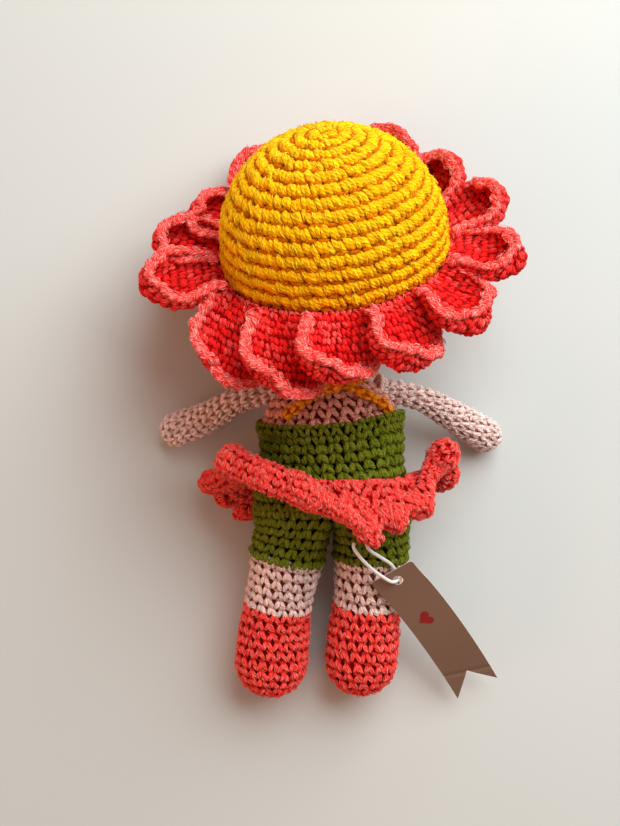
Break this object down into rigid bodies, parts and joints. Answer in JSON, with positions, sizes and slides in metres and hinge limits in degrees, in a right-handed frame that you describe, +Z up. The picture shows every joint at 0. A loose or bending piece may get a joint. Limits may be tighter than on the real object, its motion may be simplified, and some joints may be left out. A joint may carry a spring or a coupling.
{
  "type": "amigurumi doll",
  "caption": "Crocheted doll lying face down, with a flower hat, romper, petal skirt and a paper tag; head, arms, legs and tag move and the hat lifts off.",
  "frame": {"origin": "middle of the flat patch of the belly that rests on the table", "axes": "+Z up from the table, +Y from the feet to the head, +X to the right seen from above; the doll's face looks down, along -Z"},
  "size_m": [0.1495, 0.2401, 0.0982],
  "materials": {
    "yellow_yarn": "golden yellow crocheted yarn in tight rounds",
    "coral_yarn": "coral red crocheted yarn with pale fuzzy rims",
    "skin_yarn": "pale skin-coloured crocheted yarn",
    "green_yarn": "leaf green crocheted yarn",
    "orange_yarn": "orange yarn worked as a thin cord",
    "mouth_thread": "dark red embroidery thread",
    "stuffing": "white polyester fibre filling",
    "eye_plastic": "glossy black",
    "washer_plastic": "plain white",
    "kraft_paper": "brown kraft paper, slightly curled, bare but for a small heart",
    "cotton_string": "white waxed cotton string"
  },
  "bodies": {
    "torso": {"romper": "green_yarn", "romper_cuff": "green_yarn", "chest": "skin_yarn", "body_stuffing": "stuffing", "left_strap": "orange_yarn", "right_strap": "orange_yarn", "skirt": "coral_yarn", "tag_string": "cotton_string"},
    "neck": {"neck": "skin_yarn", "neck_stuffing": "stuffing"},
    "head": {"head": "skin_yarn", "head_stuffing": "stuffing", "left_eye": "eye_plastic", "left_eye_washer": "washer_plastic", "right_eye": "eye_plastic", "right_eye_washer": "washer_plastic", "mouth_stitch": "mouth_thread"},
    "hat": {"hat_crown": "yellow_yarn", "hat_brim_band": "coral_yarn", "petal_01": "coral_yarn", "petal_02": "coral_yarn", "petal_03": "coral_yarn", "petal_04": "coral_yarn", "petal_05": "coral_yarn", "petal_06": "coral_yarn", "petal_07": "coral_yarn", "petal_08": "coral_yarn", "petal_09": "coral_yarn", "petal_10": "coral_yarn", "petal_11": "coral_yarn", "petal_12": "coral_yarn", "petal_13": "coral_yarn", "petal_14": "coral_yarn"},
    "left_shoulder": {"left_shoulder_seam": "skin_yarn"},
    "left_arm": {"left_arm": "skin_yarn", "left_arm_stuffing": "stuffing"},
    "right_shoulder": {"right_shoulder_seam": "skin_yarn"},
    "right_arm": {"right_arm": "skin_yarn", "right_arm_stuffing": "stuffing"},
    "left_leg": {"left_short_leg": "green_yarn", "left_calf": "skin_yarn", "left_shoe": "coral_yarn", "left_leg_stuffing": "stuffing"},
    "right_leg": {"right_short_leg": "green_yarn", "right_calf": "skin_yarn", "right_shoe": "coral_yarn", "right_leg_stuffing": "stuffing"},
    "tag": {"tag": "kraft_paper"}
  },
  "joints": [
    {"name": "head_nod", "type": "hinge", "parent": "torso", "child": "neck", "pos_m": [0, 0.027, 0.0313], "axis": [1, 0, 0], "range_deg": [-10, 12]},
    {"name": "head_turn", "type": "hinge", "parent": "neck", "child": "head", "pos_m": [0.0005, 0.0832, 0.0465], "axis": [0.0086, 0.9653, 0.2611], "range_deg": [-20, 20]},
    {"name": "hat_lift", "type": "slide", "parent": "head", "child": "hat", "axis": [-0.1167, 0.8305, 0.5446], "range_m": [0, 0.06]},
    {"name": "left_arm_swing", "type": "hinge", "parent": "torso", "child": "left_shoulder", "pos_m": [-0.0215, 0.0226, 0.0295], "axis": [0, 1, 0], "range_deg": [-22, 30]},
    {"name": "left_arm_raise", "type": "hinge", "parent": "left_shoulder", "child": "left_arm", "pos_m": [-0.0215, 0.0226, 0.0295], "axis": [0, 0, 1], "range_deg": [-30, 10]},
    {"name": "right_arm_swing", "type": "hinge", "parent": "torso", "child": "right_shoulder", "pos_m": [0.0215, 0.0226, 0.0295], "axis": [0, 1, 0], "range_deg": [-30, 22]},
    {"name": "right_arm_raise", "type": "hinge", "parent": "right_shoulder", "child": "right_arm", "pos_m": [0.0215, 0.0226, 0.0295], "axis": [0, 0, 1], "range_deg": [-10, 30]},
    {"name": "left_hip", "type": "hinge", "parent": "torso", "child": "left_leg", "pos_m": [-0.0166, -0.036, 0.024], "axis": [1, 0, 0], "range_deg": [0, 45], "deforming": ["skirt"]},
    {"name": "right_hip", "type": "hinge", "parent": "torso", "child": "right_leg", "pos_m": [0.0166, -0.036, 0.024], "axis": [1, 0, 0], "range_deg": [0, 45], "deforming": ["skirt"]},
    {"name": "tag_swing", "type": "hinge", "parent": "torso", "child": "tag", "pos_m": [0.02649, -0.05503, 0.03815], "axis": [0.0531, -0.4562, 0.8883], "range_deg": [0, 45]}
  ]
}
